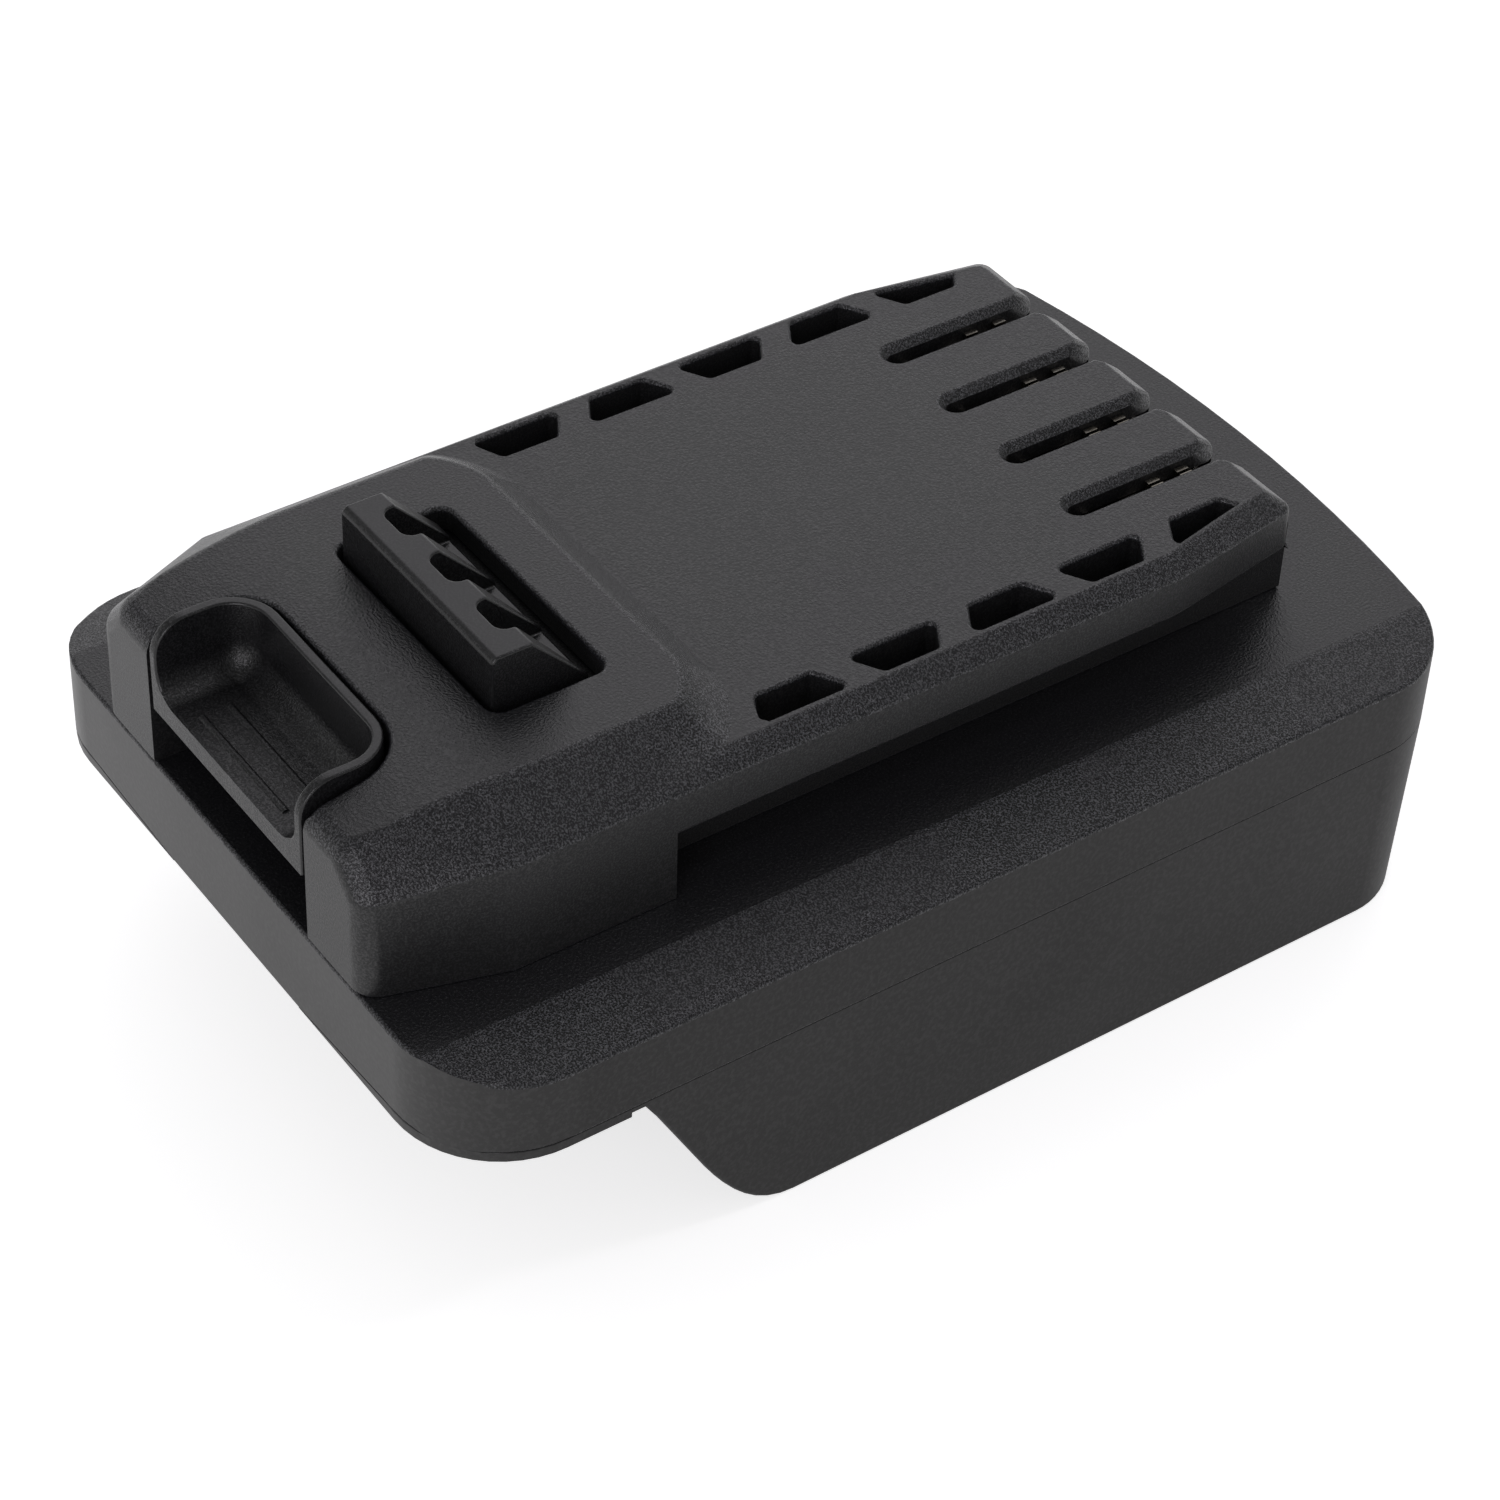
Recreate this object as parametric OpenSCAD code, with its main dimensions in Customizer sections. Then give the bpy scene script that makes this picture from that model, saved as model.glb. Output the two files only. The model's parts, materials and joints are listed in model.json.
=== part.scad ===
// Adapter that carries a slide-in battery pack below and a tool's slide rails on top.
// X runs across, Y from the thumb latch at the front to the contacts at the back, Z up.
// The origin is on the plane that the skirt stands on, under the middle of the body.

/* [Body] */
// Length from the front wall to the middle of the bowed back
body_length = 118; // [114:1:130]
// Width over the side walls
body_width = 78; // [76:1:86]
// Height of the seam between the two housings
seam_height = 21.9; // [20:0.1:28]
// Height of the upper housing above the seam
upper_height = 9.3; // [9:0.1:12]
// Wall of the upper housing and of the rail cover
wall = 2.4; // [2:0.1:2.8]
// Radius of the two front corners
front_corner_r = 11; // [8:0.5:14]
// Radius of the two back corners
back_corner_r = 9.5; // [7:0.5:12]
// Radius of the bowed back edge
back_bow_r = 160; // [120:5:400]
// Width of the sloping shoulder along each side
shoulder_width = 7.5; // [6:0.1:10]
// Drop of the shoulder from the flat top to the side wall
shoulder_drop = 1.4; // [0.4:0.1:2]

/* [Battery receiver] */
// Wall of the skirt round the battery, at the seam
skirt_wall = 2.6; // [2:0.1:3.2]
// How far the skirt's walls lean in at the foot
skirt_draft = 0.6; // [0:0.1:0.9]
// Thickness of the deck over the battery
deck_thickness = 2.4; // [2:0.1:3]
// Thickness of the lip ahead of the skirt
lip_thickness = 1.1; // [0.8:0.1:1.6]
// Distance from the front wall to the top of the skirt's front edge
skirt_start = 19.3; // [16:0.1:22]
// Distance from the front wall to the flat foot of the skirt
skirt_toe = 36.4; // [32:0.1:42]
// Width of the small notch between the lip and the skirt
notch_width = 1.7; // [1:0.1:3]
// How far each guide rail stands in from the skirt
guide_width = 4.6; // [3:0.1:6]
// Height of each guide rail's underside
guide_height = 3.6; // [2:0.1:6]
// Thickness of each guide rail
guide_thickness = 3.4; // [2.5:0.1:5]
// Width of the catch pocket for the battery's own latch
catch_width = 20; // [14:0.5:28]

/* [Tool rails] */
// Width over the two rails, at their undersides
rail_width = 54; // [50:0.2:58]
// Height of the groove under each rail
groove_height = 7.6; // [6.5:0.1:10]
// Height of each rail, from its underside to the plate's top
rail_height = 6.1; // [5.8:0.1:8]
// Lean of the cover's side walls, in degrees
cover_draft = 1; // [0:0.1:3]
// Width of the neck between the two grooves
neck_width = 44; // [42:0.2:45]
// Width of the chamfer along the plate's top edges, which runs on over the block's sides
rail_chamfer_width = 1.95; // [1.4:0.05:2.2]
// Height of the chamfer along the plate's top edges
rail_chamfer_height = 1.6; // [1.4:0.1:2.4]
// Width of the chamfer over the plate's end
end_chamfer_width = 2; // [1:0.1:2.4]
// Distance from the plate's end to the bowed back
plate_back_gap = 15.4; // [13:0.1:18]
// How far the neck runs on past the plate's end
neck_overrun = 1.9; // [1.5:0.1:4]
// Length over which the plate narrows at its end
plate_taper_length = 16; // [10:0.5:17]
// How far each side of the plate narrows at its end
plate_taper = 2.4; // [1:0.1:3]
// Radius of the plate's two end corners
plate_corner_r = 1.3; // [1:0.1:3]

/* [Front block] */
// Height of the block above the main plate
block_step = 3.2; // [2:0.1:3.6]
// Length of the block, from the front wall to the top of the sloped band
block_length = 37; // [35:0.5:40]
// Length of the sloped band behind the block
band_run = 4; // [2.5:0.1:5]
// Distance from the front wall to the start of the two grooves
block_wall_length = 30; // [29:0.5:34]
// How far each side of the block narrows at the front
front_narrowing = 3.2; // [1:0.1:4]
// Length over which the block narrows at the front
front_flare_length = 13; // [10:0.5:16]
// Drop of the block's top at the front
front_droop = 2.4; // [0.5:0.1:3]
// Radius of the block's front edges
block_edge_r = 2.6; // [1.5:0.1:3]

/* [Contact slots] */
// Distance from one contact to the next
contact_pitch = 9.6; // [9:0.1:10]
// Width of each slot
slot_width = 1.8; // [1.4:0.1:2.2]
// Bevel along the top of each slot
slot_bevel = 0.8; // [0.4:0.1:1.2]
// Length of each slot, from the plate's end
slot_length = 19.5; // [17:0.1:22]
// Thickness of the clips' spring strip
clip_thickness = 0.6; // [0.4:0.1:0.8]
// Thickness of the battery blades
blade_thickness = 0.8; // [0.6:0.1:1.2]
// Diameter of the leads, over the insulation
lead_diameter = 2.4; // [1.6:0.1:2.6]

/* [Vents] */
// Number of vents along each side
vent_count = 5; // [3:1:5]
// Distance from one vent to the next
vent_pitch = 11.9; // [11:0.1:12]
// Length of a vent along its long edge
vent_length = 10; // [8:0.1:10.4]
// Width of a vent
vent_width = 3.3; // [2:0.1:3.4]
// Depth of a vent
vent_depth = 5; // [3:0.1:5.2]
// How far a vent's slanted ends lean
vent_lean = 2; // [0.5:0.1:2.4]
// Radius of a vent's corners
vent_corner_r = 0.6; // [0.3:0.1:0.8]

/* [Release latch] */
// Width of the thumb scoop, over its rim
button_width = 26.8; // [22:0.2:27]
// Depth of the thumb scoop from front to back, over its rim
button_depth = 10.6; // [9:0.1:11]
// Radius of the scoop's two back corners
button_corner_r = 5; // [3:0.1:6]
// Height of the scoop from its underside to its rim
button_height = 9.9; // [9:0.1:11]
// Width of the rim
button_rim = 1.1; // [0.8:0.1:1.6]
// Gap round the thumb scoop
button_gap = 0.5; // [0.4:0.1:1]
// Gap round the catch
latch_gap = 1; // [0.6:0.1:1.2]
// Distance the latch travels when pressed
latch_travel = 5.2; // [4:0.1:5.6]
// Width of the toothed catch
catch_tongue_width = 25.6; // [22:0.2:26]
// Distance from the front wall to the catch
tongue_start = 19.8; // [19:0.1:21]
// Length of the catch's flat top
tongue_top_length = 4.2; // [3:0.1:5]
// Length of the catch's slope
tongue_slope_length = 5.9; // [5:0.1:6.4]
// Number of pockets in the catch
pocket_count = 3; // [2:1:3]
// Width of each pocket
pocket_width = 4.6; // [3:0.1:4.8]
// Distance from one pocket to the next
pocket_pitch = 7.8; // [7:0.1:8]
// Thickness of the plate that carries the catch
carrier_thickness = 2.8; // [2:0.1:3.4]
// Outer diameter of the springs
spring_diameter = 7; // [6:0.1:8]
// Wire of the springs
spring_wire = 0.8; // [0.6:0.1:1]
// Number of turns in each spring
spring_turns = 6; // [5:1:7]

/* [Fasteners] */
// Diameter of the larger screws' shanks
screw_diameter = 2.8; // [2.4:0.1:3]
// Diameter of the smaller screws' shanks
small_screw_diameter = 2; // [1.6:0.1:2.2]
// Distance of the housing screws from the middle
housing_screw_offset = 29; // [27:0.5:30]
// Distance of the front cover screws from the middle
front_screw_offset = 18.8; // [18:0.1:19.4]
// Distance of the rear cover screws from the middle
rear_screw_offset = 15.6; // [14:0.1:16]

/* [Hidden] */
$fn = 48;

moulding = "#3a3a3c";
latch_moulding = "#1c1c1d";
inner_moulding = "#2a2c30";
steel = "#8f9296";
copper_alloy = "#b98a4a";
red_insulation = "#8c1c1c";
grey_insulation = "#8a8a8a";
black_insulation = "#1a1a1a";

past = 1; // how far a cut runs past the face that it opens
sink = 0.5; // how far a joined feature reaches into the wall that carries it
slack = 0.15; // gap round pieces that are pushed into place
thin = 0.01; // slice that a blended shape starts or ends on

front = -body_length / 2;
back = body_length / 2;
half_width = body_width / 2;
lip_height = seam_height - lip_thickness;
receiver_height = seam_height - deck_thickness;
flange_top = seam_height + upper_height;
flange_underside = flange_top - wall;

rail_bottom = flange_top + groove_height;
plate_top = rail_bottom + rail_height;
plate_underside = plate_top - wall;
chamfer_foot = plate_top - rail_chamfer_height;
plate_end = back - plate_back_gap;
neck_end = plate_end + neck_overrun;
half_rail = rail_width / 2;
draft_slope = tan(cover_draft);
half_neck = neck_width / 2;
block_top = plate_top + block_step;
block_underside = block_top - wall;
block_half_top = rail_half(chamfer_foot)
    - (block_top - chamfer_foot) * rail_chamfer_width / rail_chamfer_height;
block_end = front + block_length;
band_end = block_end + band_run;
band_clip = block_length * 0.1;
shelf_start = block_end - band_clip / 3;
droop_length = front_flare_length + 5;

contact_offsets = [for (i = [0:3]) (i - 1.5) * contact_pitch];
slot_start = plate_end - slot_length;
slot_floor = flange_top + 2.9;
slot_round = slot_width / 2;

button_top = block_top;
button_bottom = button_top - button_height;
scoop_floor = button_bottom + 2.2;
tongue_front = front + tongue_start;
tongue_crest = tongue_front + tongue_top_length;
tongue_back = tongue_crest + tongue_slope_length;
tongue_top = block_top + latch_travel;
tongue_foot = block_top - 0.9;
carrier_top = block_underside - 0.35;
carrier_bottom = carrier_top - carrier_thickness;
carrier_margin = 2.6;
latch_arm_half = button_width / 2 - button_corner_r;

spring_offset = catch_tongue_width * 0.35;
spring_y = (tongue_front + tongue_back) / 2;
well_diameter = spring_diameter + 1.4;
well_wall = 1.6;
well_floor = seam_height + 2.6;
spring_height = carrier_bottom - well_floor;

block_body_half = contact_offsets[3] + 5.4;
block_body_back = back - 6.5;
block_body_depth = 8;
block_body_front = block_body_back - block_body_depth;
block_body_bottom = 6.5;

head_diameter = screw_diameter * 1.9;
head_height = screw_diameter * 0.68;
small_head_diameter = small_screw_diameter * 1.9;
small_head_height = small_screw_diameter * 0.68;
tower_height = 2;
tower_diameter = head_diameter + 3.6;
boss_diameter = screw_diameter + 4;
housing_screw_length = 6.4;
cover_screw_length = 8;
small_screw_length = 6;
housing_seat = seam_height - 0.4;
housing_screw_spots = [
    for (side = [-1, 1], y = [front + skirt_start * 1.4, block_body_front - skirt_start * 0.6])
        [side * housing_screw_offset, y]
];
front_screw_spot = [front_screw_offset, front + front_flare_length / 2];
rear_screw_spot = [rear_screw_offset, (band_end + slot_start) / 2];
cover_screw_spots = [
    for (side = [-1, 1], spot = [front_screw_spot, rear_screw_spot])
        [side * spot.x, spot.y]
];

carrier_plate_top = flange_top + 2.8;
carrier_plate_front = slot_start - 1;
carrier_plate_back = plate_end - 2;
carrier_half = half_neck - wall - 1;
carrier_plug_half = contact_offsets[3] + 2;
carrier_plug_front = carrier_plate_front + 2;
carrier_plug_back = carrier_plate_back - 6;
carrier_screw_spots = [for (side = [-1, 1]) [side * contact_pitch, carrier_plate_back - 3]];

clip_root = slot_start + 2.6;
clip_height = 8.4;
clip_length = 14.5;
clip_mouth = 1.4;
clip_grip = 0.2;
clip_root_half = 2.4;
clip_grip_start = clip_root + clip_length * 0.5;
clip_grip_end = clip_root + clip_length * 0.84;
clip_tip_length = 1.4;
clip_tip_rise = 1.1;
clip_tail_width = 3;
clip_tail_bottom = seam_height + 2.4;

block_flange_half = block_body_half + 6;
block_flange_front = block_body_front - 2.6;
block_flange_back = block_body_back + 1.1;
block_flange_top = seam_height + 2;
terminal_screw_offset = block_body_half + 3;
terminal_screw_y = (block_flange_front + block_flange_back) / 2;
terminal_screw_spots = [for (side = [-1, 1]) [side * terminal_screw_offset, terminal_screw_y]];
terminal_boss_height = 4.6;

blade_bottom = 9.5;
blade_height = 6;
blade_reach = 14;
blade_tail_depth = 2;
blade_tail_back = block_body_back - 4;
blade_tail_front = blade_tail_back - blade_tail_depth;
blade_tail_top = flange_underside - 1.2;
lead_height = block_flange_top + lead_diameter / 2 + 0.4;
lead_sag = 0.3;
lead_bow = 1.3;

// Points along an arc, ends included
function arc(centre, r, from, to, steps = 12) = [
    for (i = [0:steps])
        let (a = from + (to - from) * i / steps)
        centre + r * [cos(a), sin(a)]
];

// Points along a cubic curve with two handles, ends included
function curve(a, b, c, d, steps = 14) = [
    for (i = [0:steps])
        let (t = i / steps, s = 1 - t)
        s * s * s * a + 3 * s * s * t * b + 3 * s * t * t * c + t * t * t * d
];

function flip(points) = [for (i = [len(points) - 1:-1:0]) [-points[i].x, points[i].y]];
function unit(v) = v / norm(v);

// Rounded outline through corner points, all corners with the same radius
function rounded_rectangle(x0, x1, y0, y1, r) = concat(
    arc([x0 + r, y0 + r], r, 180, 270, 6),
    arc([x1 - r, y0 + r], r, 270, 360, 6),
    arc([x1 - r, y1 - r], r, 0, 90, 6),
    arc([x0 + r, y1 - r], r, 90, 180, 6)
);

// Back end of the body's outline, from the right side wall round the bow to the left one
back_centre_x = half_width - back_corner_r;
bow_centre = [0, back - back_bow_r];
back_centre = [
    back_centre_x,
    bow_centre.y + sqrt(pow(back_bow_r - back_corner_r, 2) - pow(back_centre_x, 2))
];
bow_angle = atan2(back_centre.y - bow_centre.y, back_centre.x);

function back_points(inset) =
    let (corner = arc(back_centre, back_corner_r - inset, 0, bow_angle))
    let (bow = arc(bow_centre, back_bow_r - inset, bow_angle, 180 - bow_angle))
    concat(corner, [for (i = [1:len(bow) - 2]) bow[i]], flip(corner));

function body_points(inset) =
    let (corner = arc([half_width - front_corner_r, front + front_corner_r], front_corner_r - inset, -90, 0))
    concat(corner, back_points(inset), flip(corner));

// Battery receiver in plan, open at the front
function receiver_points() = concat(
    [[-half_width + skirt_wall, front - past], [half_width - skirt_wall, front - past]],
    back_points(skirt_wall)
);

// Half width over the cover's side walls at a height
function rail_half(z) = half_rail - (z - rail_bottom) * draft_slope;

// One half of the rail plate's outline, drawn in from its side and from its end
function plate_half(inset, end_inset) =
    let (taper_angle = atan2(plate_taper, plate_taper_length))
    let (x = half_rail - inset, y = plate_end - end_inset)
    let (r = plate_corner_r)
    let (corner = [half_rail - end_inset - plate_taper - r, y - r])
    concat(
        [[x, shelf_start], [x, plate_end - plate_taper_length]],
        arc(corner, r, taper_angle, 90, 6)
    );

function plate_points(inset, end_inset) =
    let (half = plate_half(inset, end_inset))
    concat(half, flip(half));

// Outline with each of its corners rounded by an arc; the points run counter-clockwise
function rounded(points, r) = [
    for (i = [0:len(points) - 1])
        let (last = len(points) - 1, p = points[i])
        let (before = unit(points[i == 0 ? last : i - 1] - p))
        let (after = unit(points[i == last ? 0 : i + 1] - p))
        let (half_angle = acos(before * after) / 2)
        let (centre = p + unit(before + after) * r / sin(half_angle))
        let (start = atan2(before.x, -before.y))
        each arc(centre, r, start, start + 180 - 2 * half_angle, 4)
];

// Height of the block's top at a distance from the front wall, where it droops
function block_height(y) = block_top - front_droop * pow(max(0, 1 - y / droop_length), 2);

// Extrudes a side view, drawn in Y and Z, across the middle
module across(width) {
    rotate([90, 0, 90])
        linear_extrude(width, center = true)
            children();
}

// Extrudes a front view, drawn in X and Z, from one Y to another
module along(from, to) {
    translate([0, to, 0])
        rotate([90, 0, 0])
            linear_extrude(to - from)
                children();
}

module at_height(z, height) {
    translate([0, 0, z])
        linear_extrude(height)
            children();
}

module box(x0, x1, y0, y1, z0, z1) {
    translate([x0, y0, z0])
        cube([x1 - x0, y1 - y0, z1 - z0]);
}

module both_sides() {
    children();
    mirror([1, 0, 0])
        children();
}

module post(spot, diameter, z0, z1) {
    translate([spot.x, spot.y, z0])
        cylinder(d = diameter, h = z1 - z0);
}

// Tube swept along a path, with flat ends square to it
module tube(path, radius, sides) {
    last = len(path) - 1;
    rings = [
        for (i = [0:last])
            let (t = unit(path[min(i + 1, last)] - path[max(i - 1, 0)]))
            let (n = unit(cross([0, 0, 1], t)))
            let (b = cross(t, n))
            for (k = [0:sides - 1])
                path[i] + radius * (cos(360 * k / sides) * n + sin(360 * k / sides) * b)
    ];
    walls = [
        for (i = [0:last - 1], k = [0:sides - 1])
            let (a = i * sides + k, c = i * sides + (k + 1) % sides)
            for (face = [[a, a + sides, c], [c, a + sides, c + sides]]) face
    ];
    caps = [
        for (k = [1:sides - 2])
            for (face = [[0, k, k + 1], [last * sides, last * sides + k + 1, last * sides + k]]) face
    ];
    polyhedron(points = rings, faces = concat(walls, caps));
}

// Screw with a domed head, standing on its head's seat and pointing up
module screw(spot, seat, shank, head, head_height, length) {
    translate([spot.x, spot.y, seat])
        rotate_extrude()
            polygon(concat(
                [[0, length], [shank / 2 * 0.4, length], [shank / 2, length - shank / 2], [shank / 2, 0]],
                [[head / 2, 0], [head / 2, -head_height * 0.45]],
                [for (a = [30:30:90]) [head / 2 * cos(a), -head_height * (0.45 + 0.55 * sin(a))]]
            ));
}

// Seam of the front wall, which dips to the lip's underside in the middle
module front_apron() {
    along(front - past, front + wall)
        polygon([
            [-half_width + front_corner_r, seam_height],
            [-half_width + front_corner_r * 2.5, lip_height],
            [half_width - front_corner_r * 2.5, lip_height],
            [half_width - front_corner_r, seam_height]
        ]);
}

// Side view of the lower housing, with the curved front edge of the skirt
module skirt_side_view() {
    skirt_front = front + skirt_start;
    foot = front + skirt_toe;
    notch_top = lip_height + lip_thickness / 2;
    polygon(concat(
        [[front - past, seam_height + past], [front - past, lip_height]],
        [[skirt_front - notch_width, lip_height], [skirt_front - notch_width, notch_top]],
        [[skirt_front, notch_top]],
        curve(
            [skirt_front, lip_height],
            [skirt_front + skirt_start * 0.3, lip_height * 0.58],
            [foot - skirt_start * 0.38, 0],
            [foot, 0]
        ),
        [[back + past, 0], [back + past, seam_height + past]]
    ));
}

module guide_rail() {
    lead_in = 3;
    start = front + skirt_toe + 2;
    end = block_body_front - block_body_depth;
    inner = half_width - skirt_wall - guide_width;
    translate([inner + (guide_width + sink) / 2, 0, 0])
        across(guide_width + sink)
            polygon([
                [start + lead_in, guide_height], [end, guide_height],
                [end, guide_height + guide_thickness], [start, guide_height + guide_thickness]
            ]);
}

module lower_housing() {
    catch_y = front + skirt_start + 4;
    catch_depth = 7;
    terminal_boss_bottom = receiver_height - terminal_boss_height;
    color(moulding)
        difference() {
            union() {
                difference() {
                    intersection() {
                        hull() {
                            linear_extrude(thin)
                                polygon(body_points(skirt_draft));
                            at_height(seam_height - thin, thin)
                                polygon(body_points(0));
                        }
                        across(body_width + 2 * past)
                            skirt_side_view();
                    }
                    at_height(-past, receiver_height + past)
                        polygon(receiver_points());
                    front_apron();
                }
                both_sides()
                    guide_rail();
                for (spot = housing_screw_spots)
                    post(spot, tower_diameter, seam_height - sink, seam_height + tower_height);
                for (spot = terminal_screw_spots)
                    post(spot, small_screw_diameter + 3.4, terminal_boss_bottom, seam_height - sink);
            }
            for (spot = housing_screw_spots) {
                post(spot, head_diameter + 0.6, receiver_height - past, housing_seat);
                post(spot, screw_diameter + 0.4, receiver_height, seam_height + tower_height + past);
            }
            for (spot = terminal_screw_spots)
                post(spot, small_screw_diameter + 0.1, terminal_boss_bottom - past, seam_height + past);
            box(
                -catch_width / 2, catch_width / 2, catch_y, catch_y + catch_depth,
                receiver_height - past, seam_height + past
            );
            box(
                -block_body_half - slack, block_body_half + slack,
                block_body_front - slack, block_body_back + slack,
                receiver_height - past, seam_height + past
            );
        }
}

module shoulder_cut() {
    run = shoulder_width + past;
    along(front - past, back + past)
        polygon([
            [half_width - shoulder_width, flange_top],
            [half_width + past, flange_top - shoulder_drop * run / shoulder_width],
            [half_width + past, flange_top + past],
            [half_width - shoulder_width, flange_top + past]
        ]);
}

module upper_housing() {
    boss_bore_top = flange_underside - 0.3;
    color(moulding)
        difference() {
            union() {
                difference() {
                    union() {
                        at_height(seam_height, upper_height)
                            polygon(body_points(0));
                        intersection() {
                            front_apron();
                            box(-half_width, half_width, front, front + wall, 0, seam_height);
                        }
                    }
                    at_height(seam_height - past, upper_height - wall + past)
                        polygon(body_points(wall));
                }
                for (spot = housing_screw_spots)
                    post(spot, boss_diameter, seam_height + tower_height, flange_underside + sink);
                for (side = [-1, 1])
                    post(
                        [side * spring_offset, spring_y], well_diameter + 2 * well_wall,
                        well_floor - well_wall, flange_underside + sink
                    );
                for (spot = carrier_screw_spots)
                    post(spot, small_screw_diameter + 3.4, flange_underside - 2.2, flange_underside + sink);
            }
            both_sides()
                shoulder_cut();
            for (spot = housing_screw_spots)
                post(spot, screw_diameter + 0.1, seam_height, boss_bore_top);
            for (spot = cover_screw_spots)
                post(spot, screw_diameter + 0.4, flange_underside - past, flange_top + past);
            for (side = [-1, 1])
                post([side * spring_offset, spring_y], well_diameter, well_floor, flange_top + past);
            for (spot = carrier_screw_spots)
                post(spot, small_screw_diameter + 0.1, flange_underside - 2.2 - past, flange_top + past);
            box(
                -carrier_plug_half - slack, carrier_plug_half + slack,
                carrier_plug_front - slack, carrier_plug_back + slack,
                flange_underside - past, flange_top + past
            );
        }
}

// Outline of the block's walls at a height, with rounded front corners
function block_wall(z) = [
    [rail_half(z), front + front_flare_length],
    [rail_half(z), shelf_start]
];

function block_corner(z) =
    let (r = block_edge_r)
    arc([rail_half(z) - front_narrowing - r, front + r], r, -90, -15, 6);

// Rounded corner of the sloped band, from the block's side to its end
function corner_curve(from, to) =
    curve(from, from + 0.35 * [0, to.y - from.y], to + 0.35 * [from.x - to.x, 0], to, 8);

// Front block, with drooping front, wide side chamfers and the sloped band behind it
module front_block() {
    r = block_edge_r;
    bend = r * 0.42;
    half_top = block_half_top;
    front_foot = chamfer_foot - front_droop * 0.48 - bend;
    front_half = rail_half(front_foot) - front_narrowing;
    front_top_half = half_top - front_narrowing * 0.4;
    band_half = half_top * 0.73;
    shelf_half = rail_half(chamfer_foot) - rail_chamfer_width;
    shelf_band_half = band_half + band_run / 4;
    top_corner = concat(
        [[half_top, front + droop_length]],
        corner_curve([half_top, block_end - band_clip], [band_half, block_end])
    );
    shelf_corner = corner_curve([shelf_half, shelf_start], [shelf_band_half, band_end]);
    base = concat(block_corner(flange_top), block_wall(flange_top));
    foot = block_wall(chamfer_foot);
    hull() {
        at_height(flange_top, thin)
            polygon(concat(base, flip(base)));
        at_height(chamfer_foot - thin, thin)
            polygon(concat(foot, flip(foot)));
        both_sides() {
            translate([front_half - r, front + r, front_foot])
                sphere(r = r, $fn = 32);
            translate([front_top_half - bend, front + r, block_height(r) - r])
                sphere(r = r, $fn = 32);
        }
        for (t = [0.3, 0.5, 0.75])
            translate([0, front + droop_length * t, block_height(droop_length * t) - thin])
                linear_extrude(thin)
                    square([2 * (front_top_half + (half_top - front_top_half) * t), thin], center = true);
        at_height(block_top - thin, thin)
            polygon(concat(top_corner, flip(top_corner)));
        at_height(plate_top - thin, thin)
            polygon(concat(shelf_corner, flip(shelf_corner)));
    }
}

module rail_plate() {
    foot_inset = half_rail - rail_half(chamfer_foot);
    hull() {
        at_height(rail_bottom, thin)
            polygon(plate_points(0, 0));
        at_height(chamfer_foot - thin, thin)
            polygon(plate_points(foot_inset, foot_inset));
        at_height(plate_top - thin, thin)
            polygon(plate_points(foot_inset + rail_chamfer_width, foot_inset + end_chamfer_width));
    }
}

// Slot with a rounded inner end and bevelled edges, open at the plate's end
module contact_slot(x) {
    bevel_half = slot_round + slot_bevel;
    start = slot_start + slot_round;
    end = neck_end + past;
    translate([x, 0, 0]) {
        box(-slot_round, slot_round, start, end, slot_floor, plate_top + past);
        post([0, start], slot_width, slot_floor, plate_top + past);
        along(start, end)
            polygon([
                [-slot_round, plate_top - slot_bevel], [slot_round, plate_top - slot_bevel],
                [bevel_half, plate_top], [bevel_half, plate_top + past],
                [-bevel_half, plate_top + past], [-bevel_half, plate_top]
            ]);
        translate([0, start, plate_top - slot_bevel])
            cylinder(r1 = slot_round, r2 = bevel_half + slot_bevel * 0.5, h = slot_bevel * 1.5);
        both_sides()
            finger_corner_cut();
    }
}

// What is cut from a finger's tip to round its corner at the slot's mouth
module finger_corner_outline() {
    r = slot_bevel + 1.2;
    polygon(concat(
        arc([slot_round + r, -r], r, 90, 180, 6),
        [[slot_round - past, -r], [slot_round - past, past], [slot_round + r, past]]
    ));
}

// The same cut in the finger's upright end, then along its end chamfer
module finger_corner_cut() {
    end_lean = atan2(end_chamfer_width, rail_chamfer_height);
    translate([0, plate_end, rail_bottom - past])
        linear_extrude(chamfer_foot - rail_bottom + past)
            finger_corner_outline();
    translate([0, plate_end, chamfer_foot])
        rotate([end_lean, 0, 0])
            linear_extrude(rail_chamfer_height * 2)
                finger_corner_outline();
}

// Row of vents along one rail; every second one has its long edge on the inside
module vent_row() {
    inner = half_neck - 1.1;
    vent_edge = 0.7;
    first = block_end + vent_pitch * 0.7;
    half_long = vent_length / 2;
    half_short = half_long - vent_lean;
    at_height(plate_top - vent_depth, vent_depth + past)
        intersection() {
            union()
                for (i = [0:vent_count - 1]) {
                    outer_half = i % 2 == 0 ? half_long : half_short;
                    inner_half = i % 2 == 0 ? half_short : half_long;
                    translate([inner, first + i * vent_pitch])
                        polygon(rounded([
                            [0, -inner_half], [vent_width, -outer_half],
                            [vent_width, outer_half], [0, inner_half]
                        ], vent_corner_r));
                }
            polygon(plate_points(rail_chamfer_width + vent_edge, end_chamfer_width + vent_edge));
        }
}

module button_opening(gap) {
    half = button_width / 2 + gap;
    depth = front + button_depth + gap;
    r = button_corner_r + gap;
    corner = arc([half - r, depth - r], r, 0, 90, 8);
    polygon(concat([[half, front - past]], corner, flip(corner), [[-half, front - past]]));
}

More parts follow.
